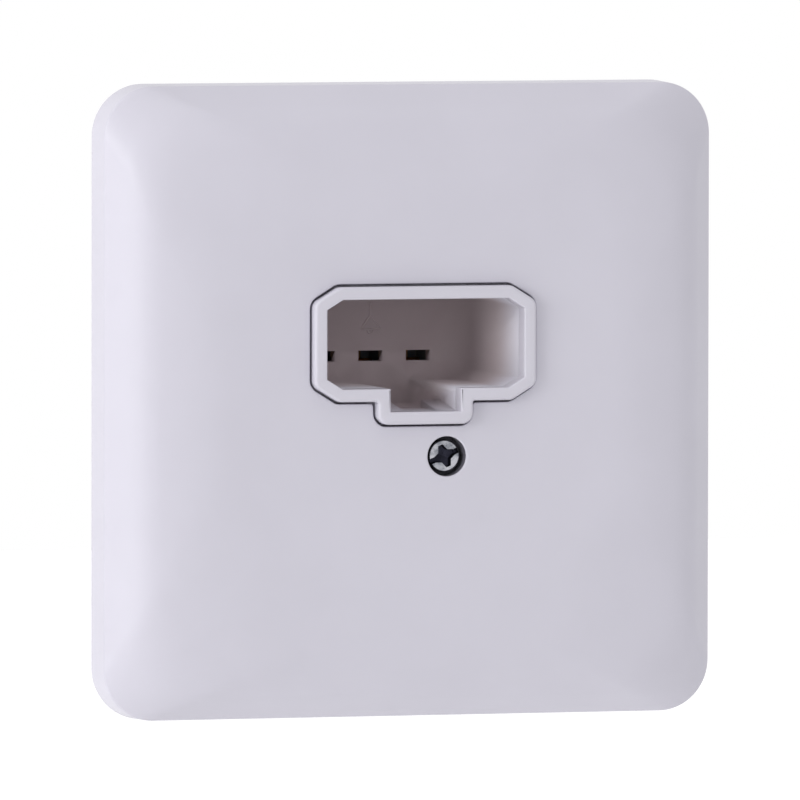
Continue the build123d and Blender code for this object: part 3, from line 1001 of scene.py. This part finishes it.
@dataclass
class CoverScrew:
    """The screw that holds the cover: a slot and a flared cross in its head, and its thread."""

    top: float = 11.3
    tip: float = -1.2
    head_radius: float = 2.15
    edge_radius: float = 0.22
    dome: float = 0.1
    slot_turn: float = math.radians(22.0)
    slot_half: float = 0.33
    slot_depth: float = 0.7
    cross_reach: float = 1.5
    cross_half: float = 0.3
    cross_flare: float = 0.62
    cross_depth: float = 1.3
    cross_loss: float = 1.0 / 3.0
    wall_run: float = 0.07
    thread_radius: float = 1.5
    thread_depth: float = 0.28
    pitch: float = 0.5
    columns: int = 192
    face_rows: int = 72
    edge_rows: int = 7
    rows_per_turn: int = 8
    spot: ScrewPlace = ScrewPlace()
    finish: WorkedMetal = COVER_SCREW_ZINC

    def step(self, inside: np.ndarray) -> np.ndarray:
        """One well inside, nought outside, with a smooth wall between; inside is a distance."""
        share = np.clip(inside / self.wall_run + 0.5, 0.0, 1.0)
        return share**2 * (3.0 - 2.0 * share)

    def recess(self, x: np.ndarray, z: np.ndarray) -> np.ndarray:
        """Depth of the slot and the cross below the head.

        The slot is a straight band along u. The cross is where the smaller of |u| and |v| is
        under a half width that widens towards the middle, out to the reach. On its way out it
        loses a share of its depth.

        Args:
            x: X from the screw's axis.
            z: Z from the screw's axis.

        Returns:
            The depths.
        """
        u = np.abs(x * math.cos(self.slot_turn) + z * math.sin(self.slot_turn))
        v = np.abs(z * math.cos(self.slot_turn) - x * math.sin(self.slot_turn))
        far, near = np.maximum(u, v), np.minimum(u, v)
        half = self.cross_half + self.cross_flare * (1.0 - far / self.cross_reach)
        cross = self.step(np.minimum(half - near, self.cross_reach - far))
        cross = cross * self.cross_depth * (1.0 - self.cross_loss * far / self.cross_reach)
        return np.maximum(cross, self.slot_depth * self.step(self.slot_half - v))

    def thread(self, turn: np.ndarray) -> tuple[np.ndarray, np.ndarray]:
        """The threaded shank from its tip up, as radii and heights.

        The radius drops by the thread's depth times a triangle wave of the height over the
        pitch less the share of a turn, and the thread runs out over its last turn at each end.

        Args:
            turn: the angle of each column.

        Returns:
            Radii and heights, one row for each step up.
        """
        seat = self.spot.seat
        rows = int((seat - self.tip) / self.pitch * self.rows_per_turn)
        height = np.linspace(self.tip, seat, rows)[:, None]
        phase = (height / self.pitch - turn / (2 * np.pi)) % 1.0
        ends = np.minimum(height - self.tip, seat - height) / self.pitch
        wave = np.abs(2.0 * phase - 1.0) * np.clip(ends, 0.0, 1.0)
        return self.thread_radius - self.thread_depth * wave, height + 0 * phase

    def build(self) -> None:
        """Builds the screw as one turned grid from its tip to its head's middle."""
        turn = np.linspace(0.0, 2 * np.pi, self.columns + 1)[:-1]
        shank, shank_height = self.thread(turn)
        angle = np.linspace(0.0, np.pi / 2, self.edge_rows)
        flat = self.head_radius - self.edge_radius
        face = np.linspace(flat, 0.0, self.face_rows)[1:]
        level = self.top - self.dome * (face / flat) ** 2
        shoulder = self.top - self.dome - self.edge_radius
        head = np.concatenate([[self.head_radius], flat + self.edge_radius * np.cos(angle), face])
        head_height = np.concatenate([
            [self.spot.seat], shoulder + self.edge_radius * np.sin(angle), level
        ])
        radius = np.concatenate([0 * shank[:1], shank, head[:, None] + 0 * turn])
        height = np.concatenate([shank_height[:1], shank_height, head_height[:, None] + 0 * turn])
        x, z = radius * np.cos(turn), radius * np.sin(turn)
        # The first row to be carved is the one past the tip's middle, the shank and the seat.
        carved = len(shank) + 2
        height[carved:] -= self.recess(x[carved:], z[carved:])
        skin = Skin()
        skin.grid(self.spot.x + x, height, self.spot.z + z)
        place(skin.build("cover_screw_turned"), self.finish, "cover_screw")


@dataclass
class LampSign:
    """The small lamp sign in thin relief on the socket's floor: a cord, a shade and a bulb."""

    centre_x: float = -0.5
    cord_top: float = 12.3
    shade_top: float = 10.75
    shade_bottom: float = 8.8
    shade_half: float = 1.4
    bulb_bottom: float = 8.25
    bulb_half: float = 0.5
    stroke: float = 0.22
    relief: float = 0.12
    cap_rows: int = 5
    stroke_columns: int = 16
    floor_height: float = -10.2
    finish: MouldedPlastic = SOCKET_PLASTIC

    def line(self, skin: Skin, start: tuple[float, float], end: tuple[float, float]) -> None:
        """Adds one stroke, a straight bead that rounds down to nothing at both ends.

        At angle a round the bead a point lies half the stroke times cos a across and the relief
        times sin a up. Towards an end both shrink by the sine of an even angle.

        Args:
            skin: what it is added to.
            start: X and Z of one end.
            end: X and Z of the other.
        """
        first, last = np.array(start), np.array(end)
        along = (last - first) / np.linalg.norm(last - first)
        cap = np.linspace(0.0, np.pi / 2, self.cap_rows)
        shrink = np.concatenate([np.sin(cap), np.sin(cap)[::-1]])[:, None]
        reach = self.stroke / 2 * np.cos(cap)
        middle = np.concatenate([
            first - reach[:, None] * along, last + reach[::-1, None] * along
        ])
        angle = np.linspace(0.0, 2 * np.pi, self.stroke_columns + 1)[:-1]
        across = self.stroke / 2 * np.cos(angle) * shrink
        up = self.relief * np.sin(angle) * shrink
        x = middle[:, :1] - along[1] * across
        z = middle[:, 1:] + along[0] * across
        skin.grid(x, self.floor_height + up, z)

    def build(self) -> None:
        """Builds the sign's strokes and dresses them as the socket."""
        skin = Skin()
        x, half = self.centre_x, self.shade_half
        corners = [(x - half, self.shade_bottom), (x, self.shade_top), (x + half, self.shade_bottom)]
        self.line(skin, (x, self.cord_top), (x, self.shade_top))
        for start, end in zip(corners, corners[1:] + corners[:1]):
            self.line(skin, start, end)
        bulb = [
            (x - self.bulb_half, self.shade_bottom),
            (x - self.bulb_half / 2, self.bulb_bottom),
            (x + self.bulb_half / 2, self.bulb_bottom),
            (x + self.bulb_half, self.shade_bottom),
        ]
        for start, end in zip(bulb, bulb[1:]):
            self.line(skin, start, end)
        place(skin.build("lamp_sign"), self.finish)


def place(
    piece: bpy.types.Object, finish: MouldedPlastic | WorkedMetal, node: str = ""
) -> None:
    """Dresses a new piece and hands it to the frame.

    Args:
        piece: the piece.
        finish: its finish.
        node: the solid that it stands for, if it stands for one.
    """
    piece.data.materials.append(finish.material())
    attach(piece, BODY)
    if node:
        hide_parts(node)
    LOG.info("%s has %d faces", piece.name, len(piece.data.polygons))


# The studio


@dataclass(frozen=True)
class Lamp:
    """One soft flat lamp, aimed at the object."""

    name: str
    towards: tuple[float, float, float]
    level: float
    width: float
    tall: float
    distance: float = 2.5

    def build(self) -> None:
        """Hangs the lamp.

        Its power is the level times the square of pi and of the distance, which makes a white
        matt surface that faces it as bright as the level.
        """
        light = bpy.data.lights.new(self.name, "AREA")
        light.shape = "RECTANGLE"
        light.size, light.size_y = self.width, self.tall
        light.energy = self.level * (math.pi * self.distance) ** 2
        lamp = bpy.data.objects.new(self.name, light)
        aim = Vector(self.towards).normalized()
        turn = aim.to_track_quat("Z", "Y").to_matrix().to_4x4()
        lamp.matrix_world = Matrix.Translation(aim * self.distance) @ turn
        bpy.context.scene.collection.objects.link(lamp)


@dataclass
class Studio:
    """Camera, lamps, world and floor. Lengths are in metres."""

    yaw: float = math.radians(17.04)
    pitch: float = math.radians(3.02)
    roll: float = math.radians(0.09)
    target: tuple[float, float, float] = (0.56 * MM, 0.0, -0.26 * MM)
    distance: float = 2.193
    lens: float = 735.2
    sight: float = 40.0
    floor_level: float = -0.6
    floor_half: float = 9.0
    floor_colour: float = 0.9
    floor_roughness: float = 0.9
    floor_lift: float = 0.35
    ambient: float = 0.81
    lamps: tuple[Lamp, ...] = (
        Lamp("left_lamp", (-0.94, -0.30, 0.155), 0.54, width=2.0, tall=0.8),
        Lamp("top_lamp", (0.0, -0.3, 1.0), 0.11, width=1.4, tall=1.4),
        Lamp("low_lamp", (0.1, -0.42, -0.9), 0.06, width=0.5, tall=0.4, distance=0.55),
    )

    def camera(self) -> None:
        """Places the camera at the photograph's angle, level but for a trace of roll."""
        data = bpy.data.cameras.new("camera")
        data.lens = self.lens
        data.clip_end = self.sight
        camera = bpy.data.objects.new("camera", data)
        looks = Vector((
            math.sin(self.yaw) * math.cos(self.pitch),
            math.cos(self.yaw) * math.cos(self.pitch),
            -math.sin(self.pitch),
        ))
        turn = looks.to_track_quat("-Z", "Y").to_matrix().to_4x4()
        spot = Matrix.Translation(Vector(self.target) - looks * self.distance)
        camera.matrix_world = spot @ turn @ Matrix.Rotation(self.roll, 4, "Z")
        bpy.context.scene.collection.objects.link(camera)
        bpy.context.scene.camera = camera

    def seen(self, tree: bpy.types.NodeTree) -> bpy.types.NodeSocket:
        """One for a camera, glossy or transmission ray and nought for the rest.

        Args:
            tree: the node tree that it is added to.

        Returns:
            The result's socket.
        """
        path = tree.nodes.new("ShaderNodeLightPath")
        total = path.outputs["Is Camera Ray"]
        for name in ("Is Glossy Ray", "Is Transmission Ray"):
            either = tree.nodes.new("ShaderNodeMath")
            either.operation = "MAXIMUM"
            tree.links.new(total, either.inputs[0])
            tree.links.new(path.outputs[name], either.inputs[1])
            total = either.outputs["Value"]
        return total

    def world(self) -> None:
        """White where it is seen or mirrored, and a plain grey light for the rest."""
        world = bpy.data.worlds.new("studio")
        world.use_nodes = True
        bpy.context.scene.world = world
        tree = world.node_tree
        strength = tree.nodes.new("ShaderNodeMapRange")
        strength.inputs["To Min"].default_value = self.ambient
        strength.inputs["To Max"].default_value = 1.0
        tree.links.new(self.seen(tree), strength.inputs["Value"])
        background = tree.nodes["Background"]
        background.inputs["Color"].default_value = (1.0, 1.0, 1.0, 1.0)
        tree.links.new(strength.outputs["Result"], background.inputs["Strength"])

    def floor(self) -> None:
        """A wide pale floor below the object, lifted to white where it is seen unshadowed."""
        half = self.floor_half / MM
        square = np.array([(-half, -half), (half, -half), (half, half), (-half, half)])
        mesh = bpy.data.meshes.new("floor")
        level = np.full((4, 1), self.floor_level / MM)
        corners = np.concatenate([square, level], axis=1) * MM
        mesh.from_pydata(corners.tolist(), [], [(0, 1, 2, 3)])
        floor = bpy.data.objects.new("floor", mesh)
        bpy.context.scene.collection.objects.link(floor)
        dress = Dresser("floor")
        shade = (self.floor_colour,) * 3 + (1.0,)
        dress.set(Base_Color=shade, Roughness=self.floor_roughness)
        dress.set(Emission_Color=(1.0, 1.0, 1.0, 1.0))
        lift = dress.tree.nodes.new("ShaderNodeMath")
        lift.operation = "MULTIPLY"
        lift.inputs[1].default_value = self.floor_lift
        dress.link(self.seen(dress.tree), lift.inputs[0])
        dress.link(lift.outputs["Value"], dress.shader.inputs["Emission Strength"])
        mesh.materials.append(dress.material)

    def build(self) -> None:
        """Sets the whole studio up."""
        bpy.context.scene.view_settings.view_transform = "Standard"
        self.camera()
        self.world()
        self.floor()
        for lamp in self.lamps:
            lamp.build()


def main() -> None:
    """Builds the studio and the pieces in order."""
    logging.basicConfig(level=logging.INFO, format="%(message)s")
    Studio().build()
    CoverShell().build()
    SocketShell().build()
    LampSign().build()
    CoverScrew().build()
    for group in SOLIDS:
        group.build()


if __name__ == "__main__":
    main()
